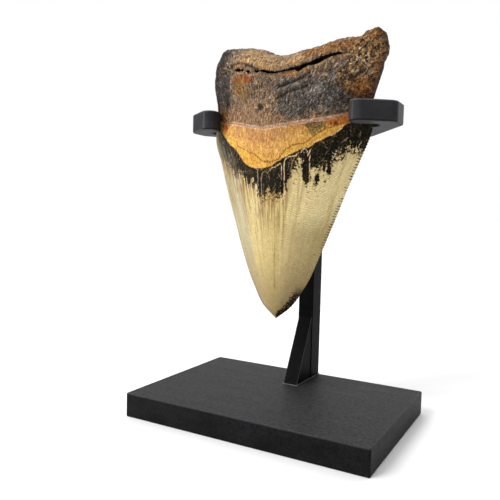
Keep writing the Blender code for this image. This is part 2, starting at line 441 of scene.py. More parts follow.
def turned(profile, place, upside_down):
    """Solid of revolution about Z through (radius, depth below the head)."""
    bm = bmesh.new()
    sign_z = 1 if upside_down else -1
    points = [bm.verts.new((radius, 0, sign_z * depth)) for radius, depth in profile]
    edges = [bm.edges.new(pair) for pair in zip(points, points[1:])]
    bmesh.ops.spin(bm, geom=points + edges, cent=(0, 0, 0), axis=(0, 0, 1),
                   angle=2 * np.pi, steps=SCREW_STEPS, use_merge=True)
    bmesh.ops.remove_doubles(bm, verts=bm.verts, dist=0.001 * MM)
    bmesh.ops.recalc_face_normals(bm, faces=bm.faces)
    bmesh.ops.translate(bm, verts=bm.verts, vec=place)
    return bm


oxide = Finish(bpy.data.materials.new("black_oxide"))
oxide_cloud = oxide.noise(oxide.place(), 900.0, 4.0)
oxide.surface(
    Base_Color=oxide.paint(shade(58, 58, 61),
                           (oxide.step(oxide_cloud, 0.4, 0.62), (86, 86, 88))),
    Roughness=0.30 + 0.2 * oxide_cloud, Normal=oxide.bump(oxide_cloud, 0.3, 0.05 * MM),
    Metallic=1.0)


def add_screw(name, place, shank, length, upside_down, held):
    """The screw, and its hole through each held piece."""
    head = 1.9 * shank
    head_depth = 1.15 * shank
    tip = 0.7 * shank
    soft = 0.12 * shank
    profile = ((0, AIR), (head - soft, AIR), (head, AIR + soft),
               (shank, AIR + head_depth), (shank, length - tip), (tip, length), (0, length))
    hole = ((0, -3 * AIR), (head + AIR, -3 * AIR), (head + AIR, AIR),
            (shank + AIR, AIR + head_depth), (shank + AIR, length + AIR), (0, length + AIR))
    for thing in held:
        cut(thing, add_piece(name + "_hole", turned(hole, place, upside_down), None, 0))
    screw = add_piece(name, turned(profile, place, upside_down), oxide.block, 30)
    socket = bmesh.new()
    bmesh.ops.create_cone(socket, cap_ends=True, segments=6, radius1=0.95 * shank,
                          radius2=0.95 * shank, depth=2 * shank)
    bmesh.ops.translate(socket, verts=socket.verts, vec=place)
    cut(screw, add_piece(name + "_socket", socket, None, 0))
    screw.data.set_sharp_from_angle(angle=np.radians(30))
    stand_for(screw, name)


# %% [markdown]
# ## The base, the post and its gusset
#
# The base is a heavy plate. The post stands at the middle of its back edge and
# a wedge-shaped gusset props it from the front. The gusset is a little
# narrower than the post, which leaves the dark line between them. A wedge has
# a slanted face, so it isn't a prism on Z: its side is drawn as a triangle and
# extruded along X, and its long edges are bevelled.

# %% Base, post and gusset
BASE_LOW, BASE_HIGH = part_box("base_plate")
CRADLE_LOW, CRADLE_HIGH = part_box("cradle")
POST_LOW, POST_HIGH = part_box("post")
GUSSET_LOW, GUSSET_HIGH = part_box("gusset")
GUSSET_EDGE = 0.3 * MM
BEAD_LIP = 0.55 * MM
BEAD_HEIGHT = 0.4 * MM

base = add_piece("display_base", prism(
    rectangle(BASE_LOW, BASE_HIGH, 0.9 * MM),
    BASE_LOW.z, BASE_HIGH.z, 0.7 * MM, arc_steps=6), base_coat)
post = add_piece("display_post", prism(
    rectangle(POST_LOW, POST_HIGH, 0.45 * MM),
    BASE_HIGH.z, CRADLE_LOW.z, 0.05 * MM, arc_steps=3), post_coat)


def wedge(low, high, back, foot):
    """Triangle on its side, extruded along X, with its long edges bevelled."""
    bm = extruded(((low.x, low.y, foot), (low.x, back, high.z), (low.x, back, foot)),
                  (high.x - low.x, 0, 0))
    slanted = [e for e in bm.edges if abs(e.verts[0].co.x - e.verts[1].co.x) < SAME_PLACE
               and e.calc_length() > abs(high.z - foot)]
    bevel_edges(bm, slanted, GUSSET_EDGE, 3, marks_rim=True)
    return bm


gusset = add_piece("post_gusset", wedge(GUSSET_LOW, GUSSET_HIGH, POST_LOW.y, BASE_HIGH.z),
                   post_coat)


def foot_bead(half, front, back, narrow, neck):
    """Fillet of lacquer round the T-shaped foot of the post and gusset."""
    outline = ((-narrow, front), (narrow, front), (narrow, neck), (half, neck),
               (half, back), (-half, back), (-half, neck), (-narrow, neck))
    grown = [(x + np.sign(x) * BEAD_LIP, y + (BEAD_LIP if y == back else -BEAD_LIP), 0.2 * MM)
             for x, y in outline]
    filled = prism(grown, BASE_HIGH.z, BASE_HIGH.z + BEAD_HEIGHT, 0.15 * MM, arc_steps=3)
    # Every face of the bead counts as a rim face, so the whole bead is painted light grey: a
    # painted highlight along the post's foot.
    rim_wear_and_light = filled.faces.layers.float["rim_wear_and_light"]
    for face in filled.faces:
        face[rim_wear_and_light] = 1.0
    return filled


bead = add_piece("foot_bead", foot_bead(
    POST_HIGH.x, GUSSET_LOW.y, BASE_HIGH.y - 0.6 * MM, GUSSET_HIGH.x, POST_LOW.y), bead_coat)
print("base top at", round(BASE_HIGH.z / MM, 1), "mm, post height",
      round((CRADLE_LOW.z - BASE_HIGH.z) / MM, 1), "mm")

# %% [markdown]
# ## The cradle
#
# The cradle is one thick plate cut to a fork. Its two arms reach round the
# tooth's thin sides and end in rounded noses. It is drawn from above, one
# side first, and the other side is the same list turned over, so both arms
# match. Its corners have different radii: full ones at the noses, and tight
# ones where the notch grips the tooth's edge.

# %% Cradle
BACK = BASE_HIGH.y / MM
CRADLE_OUTER = (                 # x, y and radius in mm
    (40.0, -12.8, 4.6),          # nose
    (46.5, -12.8, 5.0),
    (62.3, -1.1, 6.5),           # outer front corner of the arm
    (62.3, 12.5, 3.0),
    (34.5, BACK, 3.0),
)
CRADLE_INNER = (
    (51.3, 11.35, 4.7),          # notch that takes the tooth's thin side
    (51.3, 1.6, 4.4),
    (46.2, 1.6, 1.6),
    (40.0, -3.0, 2.5),
)


def turned_over(corners):
    return tuple((-x, y, radius) for x, y, radius in reversed(corners))


outside = CRADLE_OUTER + turned_over(CRADLE_OUTER)
pocket = turned_over(CRADLE_INNER) + CRADLE_INNER
fork = [(x * MM, y * MM, radius * MM) for x, y, radius in outside + pocket]
cradle = add_piece("cradle_fork", prism(fork, CRADLE_LOW.z, CRADLE_HIGH.z, 0.8 * MM),
                   cradle_coat)

POST_MIDDLE = (POST_LOW.y + POST_HIGH.y) / 2
GUSSET_FOOT = 19.8 * MM
BASE_SHANK = 2.0 * MM
CRADLE_SHANK = 1.25 * MM
add_screw("base_screw_post", (0, POST_MIDDLE, 0), BASE_SHANK, 26 * MM, True, (base, post))
add_screw("base_screw_gusset", (0, POST_LOW.y - 0.4 * GUSSET_FOOT, 0), BASE_SHANK, 22 * MM,
          True, (base, gusset))
for index, shift in enumerate((-3.5 * MM, 2.4 * MM)):
    add_screw(f"cradle_screw_{index + 1}", (0, POST_MIDDLE + shift, CRADLE_HIGH.z),
              CRADLE_SHANK, 19 * MM, False, (cradle, post))
for thing, node in ((base, "base_plate"), (post, "post"), (gusset, "gusset"),
                    (cradle, "cradle"), (bead, "post")):
    keep_planes_flat(thing)
    stand_for(thing, node)

# %% [markdown]
# ## The tooth's form
#
# A shark tooth is a flattened cone with two faces that meet in a sharp edge.
# Its outline and its thickness change all the way up, so it isn't turned or
# extruded. Here each face is a flat grid that is mapped onto the form. The
# place across the tooth runs from -1 at one cutting edge to 1 at the other, and
# the place up it from 0 at the tip to 1 at the top of the root. Tables of
# a few points give the two sides, the top, and the depth of each face, and a
# smooth curve runs through each table.

# %% Tables of the form
LEFT_EDGE = (                    # fraction of the height, x mm, z mm
    (0, -1.3, 56), (0.05, -9.4, 62.5), (0.12, -16.7, 74), (0.24, -25, 91.8), (0.36, -31.9, 109.2),
    (0.49, -38.9, 127.6), (0.6, -44.8, 145), (0.67, -48.6, 155.5), (0.73, -48.8, 164),
    (0.79, -46.8, 172.5), (0.85, -45.6, 180.5), (0.92, -45.4, 190.5), (0.97, -43.7, 198.5),
    (1, -41.6, 203.6),
)
RIGHT_EDGE = (
    (0, -1.3, 56), (0.05, 7.4, 63), (0.12, 15.5, 74.8), (0.24, 23.3, 92.6), (0.36, 29.7, 110),
    (0.49, 36.2, 128.6), (0.6, 42.9, 145.6), (0.67, 46.9, 155.8), (0.74, 48.4, 165.4),
    (0.8, 48.2, 173.6), (0.85, 50.6, 180.5), (0.92, 54.4, 191.5), (0.97, 57, 200),
    (1, 55.6, 206.4),
)
TOP_EDGE = (                     # fraction of the width, x mm, z mm
    (0, -41.6, 203.6), (0.06, -36.4, 207.8), (0.16, -26, 207.5), (0.28, -13, 205),
    (0.42, -0.5, 201), (0.56, 13.5, 202.3), (0.72, 28, 204.8), (0.88, 43.5, 207),
    (0.95, 50.5, 209), (1, 55.6, 206.4),
)
EDGE_Y = (                       # fraction of the height, y mm
    (0, -2.2), (0.1, -1.3), (0.24, 0.3), (0.36, 2.2), (0.49, 4), (0.62, 5.6), (0.74, 5.6),
    (0.84, 3), (0.93, 0.6), (1, -0.6),
)
FRONT_DEPTH = (
    (0, 0), (0.02, 1.6), (0.05, 3.2), (0.12, 6.2), (0.24, 9.8), (0.36, 12.8), (0.49, 16),
    (0.62, 19.4), (0.74, 21.2), (0.84, 19), (0.93, 16.4), (1, 14.6),
)
BACK_DEPTH = (
    (0, 0), (0.02, 1), (0.05, 1.8), (0.12, 3), (0.24, 4.2), (0.36, 4.8), (0.49, 5), (0.62, 5),
    (0.74, 5.4), (0.84, 7.6), (0.93, 9.8), (1, 10.2),
)
ROOT_START = 0.75                # the thin crown section swells into the root
ROOT_FULL = 0.88
CROWN_SECTION = (2.0, 0.98)      # exponents of the section across the width
ROOT_SECTION = (3.4, 0.52)
TOP_ROLL = 0.915                 # above this the root rounds over to its top
TOP_ROLL_SHAPE = 2.7


def through(points, t):
    """Smooth curve through (t, values...) points, read at the array t."""
    table = np.array(points, float)
    knots = table[:, 0]
    values = table[:, 1:]
    slopes = np.gradient(values, knots, axis=0)
    cell = np.clip(np.searchsorted(knots, t, side='right') - 1, 0, len(knots) - 2)
    span = (knots[cell + 1] - knots[cell])[:, None]
    s = (t - knots[cell])[:, None] / span
    return ((2 * s**3 - 3 * s**2 + 1) * values[cell] + (s**3 - 2 * s**2 + s) * span * slopes[cell]
            + (3 * s**2 - 2 * s**3) * values[cell + 1] + (s**3 - s**2) * span * slopes[cell + 1])


def ramp(low, high, x):
    s = np.clip((x - low) / (high - low), 0, 1)
    return s * s * (3 - 2 * s)


def tooth_face(across, up, side):
    """Points of one face in mm: side -1 is the front, side 1 the back."""
    share = ((across + 1) / 2)[:, None]
    rise = up[:, None]
    tip = np.array(LEFT_EDGE[0][1:])
    left_top = np.array(TOP_EDGE[0][1:])
    right_top = np.array(TOP_EDGE[-1][1:])
    sides = (1 - share) * through(LEFT_EDGE, up) + share * through(RIGHT_EDGE, up)
    ends = (1 - rise) * tip + rise * through(TOP_EDGE, share[:, 0])
    corners = (1 - rise) * tip + rise * ((1 - share) * left_top + share * right_top)
    outline = sides + ends - corners

    root = ramp(ROOT_START, ROOT_FULL, up)
    fullness = CROWN_SECTION[0] + root * (ROOT_SECTION[0] - CROWN_SECTION[0])
    softness = CROWN_SECTION[1] + root * (ROOT_SECTION[1] - CROWN_SECTION[1])
    section = np.clip(1 - np.abs(across) ** fullness, 0, 1) ** softness
    over = np.clip((up - TOP_ROLL) / (1 - TOP_ROLL), 0, 1)
    roll = np.sqrt(1 - over ** TOP_ROLL_SHAPE)
    depth = np.where(side < 0, through(FRONT_DEPTH, up)[:, 0], through(BACK_DEPTH, up)[:, 0])
    y = through(EDGE_Y, up)[:, 0] + side * depth * section * roll
    return np.column_stack((outline[:, 0], y, outline[:, 1]))


print("tooth", round(max(z for _, _, z in TOP_EDGE) - LEFT_EDGE[0][2]), "mm high")

# %% [markdown]
# ## The lines on the tooth
#
# A megalodon tooth has three zones. The crown is covered in glossy enamel.
# Above it lies the bourlette, a dull golden band shaped like a shallow V. Above
# that is the root, which is bone-like and fibrous. A black mineral stain hangs
# down from the bourlette, and an old crack runs along the root's top. Each
# line is a short list of points that someone could draw with a pencil, in mm
# across and mm up, and everything else is measured from these lines.

# %% Pencil lines
ROOT_LINE = (
    (-49, 169), (-41.3, 168), (-37, 166.8), (-31.8, 165.7), (-27.1, 164.9), (-22.1, 163.5),
    (-16.3, 162.4), (-8.1, 160.7), (-1.7, 160.6), (4.1, 161.2), (10.4, 161.9), (18.9, 163.1),
    (26.6, 164.2), (33, 165.6), (37.3, 166.9), (48, 169),
)
ENAMEL_LINE = (
    (-49, 166), (-41.6, 162.6), (-37.1, 158), (-34.2, 155), (-30.6, 152.4), (-27.1, 150.2),
    (-23.1, 145.8), (-19, 142), (-14, 139.8), (-6.9, 139.3), (-0.7, 140.7), (3.7, 143.4),
    (7.5, 145.1), (12.1, 147.3), (16.3, 149.5), (19.1, 149.9), (21.7, 151.8), (25.4, 154),
    (29, 155.7), (31.9, 158), (35.3, 160.8), (37.7, 162.8), (42, 166), (48.5, 169.5),
)
INNER_LINE = (
    (-49, 172), (-30, 156), (-24, 151.5), (-19.2, 149.6), (-12.6, 147.3), (-8.4, 144.4),
    (-6.8, 143.3), (-2.7, 142.9), (1.2, 143.1), (3.8, 144.9), (5.8, 147.5), (9.5, 150),
    (13.4, 151.5), (18.9, 153), (20.6, 154.6), (23.6, 157.1), (27.6, 159.5), (33.1, 161.3),
    (48.5, 172),
)
BACK_LINE = (                    # the root line on the back
    (-49, 166), (-35, 163), (-15, 158.5), (0, 157.5), (15, 158.5), (35, 164), (48.5, 168),
)
BLACK_LINE = (
    (-49, 150), (-41.9, 147), (-36, 142.8), (-31.8, 139.6), (-27.2, 134), (-24, 138),
    (-19.1, 132.3), (-15.9, 131), (-13.7, 129), (-10.7, 127), (-6.9, 123.7), (-2, 125.7),
    (2.7, 124.4), (5.5, 126.5), (8.3, 130.8), (9.9, 135.5), (13.2, 140.7), (14.7, 144),
    (15.7, 137), (16.6, 132.5), (18.4, 132), (19.4, 135), (20.6, 134), (22.4, 132), (23.4, 138),
    (25, 140), (26.2, 137.5), (27, 141), (28.4, 137), (29.9, 143), (32.1, 147), (33.9, 146.3),
    (37.9, 149.5), (42.2, 148.5), (48.5, 148),
)
CRACK_LINE = (
    (-49, 196.5), (-30.7, 194.4), (-26, 193.2), (-21.7, 192.6), (-19.3, 192.2), (-15.6, 191.1),
    (-9.9, 190.8), (-7, 190.8), (-3.3, 189.9), (1, 189.3), (5.1, 189.3), (8.5, 189.7), (12.5, 190),
    (15, 189.4), (17.2, 190.4), (19.8, 191.4), (22.5, 191.8), (25, 192.5), (27.2, 193.4),
    (29.2, 194), (32.3, 194.9), (35, 195.3), (39, 195.4), (57, 196.5),
)
CRACK_WIDTH = (                  # half of the opening, mm
    (-49, 0), (-25, 0), (-22.6, 0.7), (-21, 0.6), (-20.2, 0.2), (-19.2, 0.55), (-18, 0), (-17, 0),
    (-15.6, 0.65), (-14.2, 0), (-11.8, 0), (-10.2, 0.65), (-8.6, 0.3), (-7, 0.5), (-3.5, 0.7),
    (1, 0.45), (5, 0.35), (8.5, 0.45), (12.5, 0.75), (15, 1.25), (17.2, 1), (19.8, 0.8),
    (22.5, 1.1), (25, 1.5), (27.2, 1.25), (29.2, 1), (32.3, 0.7), (35, 0.45), (38, 0.2), (41, 0),
    (57, 0),
)
VEINS = (
    ((-12.5, 140.1), (-10, 138.4), (-10, 133), (-10.2, 127.6)),
    ((-9, 139.2), (-10, 138.4)),
    ((-7.3, 122.1), (-7.5, 133), (-7.1, 135.6), (-6.4, 137.2), (-5, 137.5)),
    ((-3.3, 136.9), (-1.8, 138.2), (-0.6, 139.7), (1.2, 139.8), (2.9, 140.8), (4.1, 141.8),
     (4.9, 140.7), (5, 135.5)),
    ((6, 122.3), (6.3, 132.9), (6.3, 141.2), (6.6, 142.9), (7.4, 144.2), (9.1, 145.2),
     (12.5, 145.4), (13.3, 146.6), (14.3, 146.9)),
    ((15.5, 147.2), (15.8, 148.5), (16.8, 149.2), (17.8, 149), (18.5, 147.5), (18.7, 145.4)),
    ((19.1, 132.5), (19.3, 138.2), (19.4, 143.4), (19.7, 148.5), (20.2, 150), (21.3, 151.8),
     (22.7, 153.1), (24.6, 153.9), (26.1, 154.7)),
    ((29.7, 155.8), (31.6, 157.4), (32.9, 158.4), (35.2, 160.5)),
    ((-32.4, 162.9), (-30.3, 164.1), (-27.1, 164.8)),
    ((-32.2, 195.3), (-29.7, 194.1), (-27.4, 192.9), (-24.5, 191.5), (-20.9, 190.7),
     (-16.9, 189.6), (-13, 189), (-10.5, 188.7), (-9.2, 189.7), (-7.2, 191.6)),
)
GROWTH_WAVE = (                  # x mm, how far a growth line stands off level
    (-49, 0), (4, 0.3), (9, 0), (12.7, -1.8), (15, -1), (17, 0.8), (19, 0.2), (21, 0), (24, 1.6),
    (27, 3.6), (30, 6), (34, 9.6), (42, 16), (49, 20),
)
DARK_VEINS = (
    ((5.5, 142.8), (5.5, 131.8), (5.3, 126)),
    ((-8.7, 137.3), (-8.7, 125.9)),
    ((21.2, 155), (21, 151.8), (19.4, 148.6)),
    ((0.5, 98.5), (0.2, 86), (-0.1, 74)),
)
FOLDS = (
    ((3.6, 181.4), (7.7, 182.3), (11.1, 183.2), (14.5, 184), (17.8, 185.4), (21, 187.2)),
    ((2.1, 175.6), (5.6, 176.8), (9, 178.3), (12.4, 179.1), (16, 179.4), (19.5, 180.6)),
    ((40.5, 182.5), (42.3, 183.5), (44.1, 184.9), (46.4, 186.8)),
    ((35, 180.1), (37, 181.9), (39, 183.3)),
    ((-29, 194.2), (-26.2, 195.5), (-22.8, 196.4), (-18.1, 195.5), (-13.3, 193.6), (-9.4, 191.8)),
)
RIDGES = (
    ((3.5, 184.2), (8.8, 184.9), (12.8, 185.2), (17.2, 187), (21, 189.1), (27, 190.8),
     (32.3, 191.9)),
    ((2.5, 178.8), (7.8, 180.2), (12.4, 181.2), (16, 182.3)),
)


def line_height(points, x):
    """How high a pencil line lies at each x, held level past its ends."""
    return through(points, np.clip(x, points[0][0], points[-1][0]))[:, 0]


def line_distance(lines, x, z):
    """Distance in mm from each (x, z) to the nearest of several lines."""
    spot = np.column_stack((x, z))
    nearest = np.full(len(x), 99.0)
    for line in lines:
        for start, end in zip(np.array(line)[:-1], np.array(line)[1:]):
            stretch = end - start
            share = np.clip((spot - start) @ stretch / (stretch @ stretch), 0, 1)
            gap = np.linalg.norm(spot - start - share[:, None] * stretch, axis=1)
            nearest = np.minimum(nearest, gap)
    return nearest


middle = np.array([-6.0])
deep = line_height(ROOT_LINE, middle) - line_height(ENAMEL_LINE, middle)
print("bourlette is", round(float(deep[0]), 1), "mm deep at its middle")

# %% [markdown]
# ## The mesh of the tooth
#
# Two flat grids, one for each face, lie a little apart and are mapped onto the
# form, and their shared border is merged. The serrations and the crack are
# finer than the grid, so the edges there are subdivided while the grids are
# still flat. Crowding the rows and columns towards the borders keeps the
# rounded rim smooth. The grid place of each vertex is stored on it, because
# both the relief and the finish are worked out from that.

# %% Grids and mapping
COLUMNS = 172
ROWS = 216
RIM_FINE = 0.972                 # past this the cutting edge gets finer rows
SAW_LOW = 0.01                   # the part of the height that has them
SAW_HIGH = 0.70
CRACK_LOW = 0.88                 # the crack lies within these heights,
CRACK_HIGH = 0.965
CRACK_ACROSS = 0.78              # this far from the middle
CRACK_REACH = 3.2                # and gets finer edges this far off, mm
CUTS = 2


def spread(fraction, crowding):
    """Crowd evenly spaced fractions towards both ends."""
    eased = (1 - np.cos(np.pi * fraction)) / 2
    return fraction + crowding * (eased - fraction)


tooth_bm = bmesh.new()
for side in (-1, 1):
    grid = bmesh.ops.create_grid(tooth_bm, x_segments=COLUMNS, y_segments=ROWS, size=1)
    spots = np.array([v.co[:2] for v in grid["verts"]])
    across = 2 * spread((spots[:, 0] + 1) / 2, 0.5) - 1
    up = spread((spots[:, 1] + 1) / 2, 0.3)
    for vert, u, v in zip(grid["verts"], across, up):
        vert.co = (u, v, side)

crack_edges = []
rim_edges = []
for edge in tooth_bm.edges:
    start, end = (vert.co for vert in edge.verts)
    middle = (start + end) / 2
    if middle.z < 0 and abs(middle.x) < CRACK_ACROSS and CRACK_LOW < middle.y < CRACK_HIGH:
        spot = tooth_face(np.array([middle.x]), np.array([middle.y]), -1)[0]
        if abs(spot[2] - line_height(CRACK_LINE, spot[:1])[0]) < CRACK_REACH:
            crack_edges.append(edge)
    if (abs(start.x - end.x) < SAME_PLACE and abs(middle.x) > RIM_FINE
            and SAW_LOW < middle.y < SAW_HIGH):
        rim_edges.append(edge)
for edges in (crack_edges, rim_edges):
    bmesh.ops.subdivide_edges(tooth_bm, edges=edges, cuts=CUTS, use_grid_fill=True)
bmesh.ops.triangulate(tooth_bm, faces=[f for f in tooth_bm.faces if len(f.verts) > 4])

flat = np.array([v.co[:] for v in tooth_bm.verts])
layers = [tooth_bm.verts.layers.float.new(name) for name in ("across", "up", "face")]
for vert, spot, point in zip(tooth_bm.verts, flat, tooth_face(*flat.T)):
    for layer, value in zip(layers, spot):
        vert[layer] = value
    vert.co = point * MM
bmesh.ops.remove_doubles(tooth_bm, verts=tooth_bm.verts, dist=0.0005 * MM)
bmesh.ops.recalc_face_normals(tooth_bm, faces=tooth_bm.faces)
tooth_bm.normal_update()
print("tooth vertices:", len(tooth_bm.verts), "faces:", len(tooth_bm.faces))

# %% [markdown]
# ## Relief
#
# What the light catches has to be real shape: the swollen lip over the crack,
# the folds under it, the step where the enamel stands proud of the bourlette,
# the lumps of the root and the saw teeth on the cutting edges. Each is a height
# in mm along the surface's own direction, written as a function of the
# distances to the pencil lines, and they are added up.

# %% Distances and relief
EDGE_LENGTH = 168.0              # of a cutting edge, mm
SERRATION_PITCH = 1.65
SERRATION_DEPTH = 0.36
FAR = 9.0                        # stands for any distance too far to matter, mm

verts = list(tooth_bm.verts)
u, up, side = np.array([[v[layer] for layer in layers] for v in verts]).T
front = side < 0
points = np.array([v.co[:] for v in verts]) / MM
normals = np.array([v.normal[:] for v in verts])
x, z = points[:, 0], points[:, 2]

half_width = (through(RIGHT_EDGE, up)[:, 0] - through(LEFT_EDGE, up)[:, 0]) / 2
rim_mm = (1 - np.abs(u)) * half_width
back_height = line_height(BACK_LINE, x)
root_mm = z - np.where(front, line_height(ROOT_LINE, x), back_height)
enamel_mm = z - np.where(front, line_height(ENAMEL_LINE, x), back_height)
inner_mm = z - line_height(INNER_LINE, x)
black_mm = z - np.where(front, line_height(BLACK_LINE, x), back_height - 7)
crack_side = z - line_height(CRACK_LINE, x)
crack_half = np.maximum(line_height(CRACK_WIDTH, x), 0)
fold_gap = line_distance(FOLDS, x, z)
ridge_gap = line_distance(RIDGES, x, z)


def lumps(size, octaves=3, offset=0.0):
    """Noise at each vertex, from about -1 to 1, with lumps of that size in mm."""
    return np.array([fractal(Vector(point / size) + Vector((offset, 0, 0)),
                             1.0, 2.0, octaves) for point in points])


def crest(gap, width):
    """1 on a line and 0 a few widths away from it."""
    return np.exp(-(gap / width) ** 2)


in_root = ramp(-0.5, 2.0, root_mm)
inward = ramp(0.5, 5.0, rim_mm)
lobe = ramp(28, 40, x) * ramp(172, 182, z)
relief = in_root * (0.35 + 0.65 * inward) * (
    0.55 * lumps(14.0) + (0.50 + 0.65 * lobe) * lumps(4.5, offset=7.0)
    + (0.28 + 0.26 * lobe) * lumps(1.7, offset=13.0))

opening = np.abs(crack_side) - crack_half
cracked = front & (crack_half > 0.02)
groove = -2.6 * ramp(0.25, -0.45, opening) * ramp(0.0, 0.5, crack_half)
lip = (1.0 * ramp(0.2, 3.0, crack_side) * ramp(12.0, 4.0, crack_side)
       - 0.55 * ramp(0.0, -2.0, crack_side) * ramp(-11.0, -3.0, crack_side))
along_crack = ramp(-36, -22, x) * ramp(46, 30, x)
relief = relief + np.where(front, along_crack * lip, 0) + np.where(cracked, groove, 0)
relief = relief + np.where(front, 1.2 * crest(ridge_gap, 1.9) - 1.0 * crest(fold_gap, 0.9), 0)

step_up = -0.45 * ramp(-0.4, 0.5, enamel_mm) * ramp(1.0, -1.0, root_mm) * ramp(1, 5, rim_mm)
root_ridge = 0.35 * crest(root_mm, 0.8) * ramp(2, 6, rim_mm)
inner_ridge = 0.12 * crest(inner_mm, 0.6) * ramp(0.0, 1.0, enamel_mm)
relief = relief + np.where(front, step_up + root_ridge + inner_ridge,
                           -0.35 * ramp(-0.5, 0.5, enamel_mm) * ramp(8, 2, root_mm) * inward)

in_crown = ramp(0.5, -1.5, enamel_mm)
relief = relief + in_crown * (0.10 * lumps(20.0, octaves=2, offset=31.0) * inward
                              + 0.12 * crest(u + 0.56, 0.05) * front)

saw = np.abs(((up * EDGE_LENGTH / SERRATION_PITCH) % 1.0) * 2 - 1)
saw_zone = ramp(0.015, 0.05, up) * ramp(0.685, 0.66, up) * ramp(0.9, 0.0, rim_mm)
relief = relief - SERRATION_DEPTH * saw * saw_zone

for vert, point, normal, height in zip(verts, points, normals, relief):
    vert.co = (point + normal * height) * MM
tooth_bm.normal_update()
print("relief from", round(relief.min(), 2), "to", round(relief.max(), 2), "mm")

# %% [markdown]
# ## What the finish reads
#
# The finish needs to know where it is on the tooth. The distances that shaped
# the relief are written onto the vertices, so a mask in the finish is only a
# comparison, such as "above the root line". Stains are soft patches: each is a
# few ellipses, and noise in the finish frays their outline.

# %% Fields for the finish
FAN_MIDDLE = (-20, 120)          # the root's fibres fan out from here, x and z in mm
FAN_RADIUS = 60                  # mm of width across them are true at this radius
STAINS = {                       # centre x, centre z, half width, half height in mm
    "slate": ((-43, 188, 9, 22), (-38, 202, 9, 9), (-33, 184, 5, 12), (6.6, 186.8, 1.2, 2.4),
              (-7.5, 171.6, 1.8, 2.2)),
    "tan": ((-16, 200, 13, 6), (-3, 196.5, 11, 6.5), (10, 195.5, 9, 4), (26, 198.5, 10, 3),
            (46, 179, 7, 4.5)),
    "ash": ((5.5, 197.5, 4.5, 4), (-27, 201, 6, 5)),
    "ochre": ((-40, 170, 7, 5), (46, 180, 8, 5), (34, 201, 12, 4.5), (46, 206, 9, 4),
              (22, 198.5, 9, 3.5)),
    "rust": ((-20, 194.6, 6.5, 1.5), (24, 196.6, 9, 1.4), (38, 199, 8, 2.4), (57, 198, 3, 10),
             (50, 180, 4, 4)),
    "red": ((-18.8, 188.6, 6.5, 1.7), (-15.5, 186.5, 2.6, 2.6), (-25, 187.5, 2, 2)),
    "yellow": ((-22, 184, 4.5, 6), (-19, 187, 4, 2.5), (-18, 179, 3, 4)),
    "pink": ((-30, 168, 15, 8), (-14, 168, 13, 8), (-4, 165, 12, 4.5), (22, 165, 16, 1.6)),
    "dark": ((12, 172, 10, 8), (22, 177, 14, 9), (31, 175, 9, 8), (43, 189, 8, 6), (36, 184, 6, 5),
             (9, 181, 8, 4)),
    "lobe": ((48, 192, 9, 20), (40, 184, 6, 7)),
    "specks": ((45, 193, 7, 7),),
    "orange": ((-44, 164, 5, 6), (-36, 164.5, 5, 3), (48, 177, 6, 7), (53, 188, 3, 8),
               (10.5, 187.4, 4.5, 1.4), (17.5, 188.5, 3, 1.1)),
    "bare": ((17.2, 143.5, 1.5, 2.6), (21.4, 137.2, 1.5, 3.6), (-3.3, 127.8, 0.9, 1.1),
             (-13.9, 133.4, 1, 1.6), (9.3, 131.5, 1.3, 2), (-11.2, 129.5, 0.8, 1.6)),
    "blot": ((28, 138, 1.1, 1.6), (31.5, 143.5, 0.8, 0.8), (26.3, 133, 0.7, 1.5),
             (17.6, 134.5, 1.8, 3.2), (22.8, 134, 1.2, 2.6), (11.2, 131.4, 1, 1.2)),
    "olive": ((22.5, 161.3, 5.4, 2.6), (21.5, 158.6, 2.4, 2.4)),
    "amber": ((36, 164.5, 5, 2.4), (31, 162.8, 4.5, 1.8), (-38, 163.5, 4, 3.5)),
    "rosy": ((-24.5, 160.8, 4, 3), (-12, 157, 9, 3), (2, 156.5, 8, 3)),
}


def patch(ellipses):
    """1 inside the ellipses and 0 well outside them, with a wide soft rim."""
    share = np.zeros(len(x))
    for middle_x, middle_z, wide, high in ellipses:
        away = np.hypot((x - middle_x) / wide, (z - middle_z) / high)
        share = np.maximum(share, ramp(1.35, 0.45, away))
    return share * front


def on_front(distance, elsewhere=FAR):
    return np.where(front, distance, elsewhere)


fan_x, fan_z = x - FAN_MIDDLE[0], z - FAN_MIDDLE[1]
low_bend = -0.85 * (x - 4) * ramp(2, 8, x)
growth_bend = line_height(GROWTH_WAVE, x) * ramp(84, 100, z) + low_bend * ramp(98, 84, z)
fields = {
    "across": u,
    "up": up,
    "face": front.astype(float),
    "root_mm": root_mm,
    "enamel_mm": enamel_mm,
    "inner_mm": on_front(inner_mm, 20),
    "black_mm": black_mm,
    "crack_mm": np.where(cracked, opening, FAR),
    "crack_side": on_front(crack_side, 20),
    "rim_mm": rim_mm,
    "vein_mm": on_front(line_distance(VEINS, x, z)),
    "dark_vein_mm": on_front(line_distance(DARK_VEINS, x, z)),
    "fold_mm": on_front(fold_gap),
    "ridge_mm": on_front(ridge_gap),
    "growth": z - growth_bend,
    "fibre_across": np.arctan2(fan_x, fan_z) * FAN_RADIUS,
    "fibre_along": np.hypot(fan_x, fan_z),
}
fields.update({name: patch(ellipses) for name, ellipses in STAINS.items()})

tooth = add_piece("megalodon_tooth", tooth_bm, None, 0)
for name in ("across", "up", "face"):
    tooth.data.attributes.remove(tooth.data.attributes[name])
for name, values in fields.items():
    layer = tooth.data.attributes.new(name, 'FLOAT', 'POINT')
    layer.data.foreach_set("value", values.astype(np.float32))
print("fields:", len(fields), "on", len(tooth.data.vertices), "vertices")

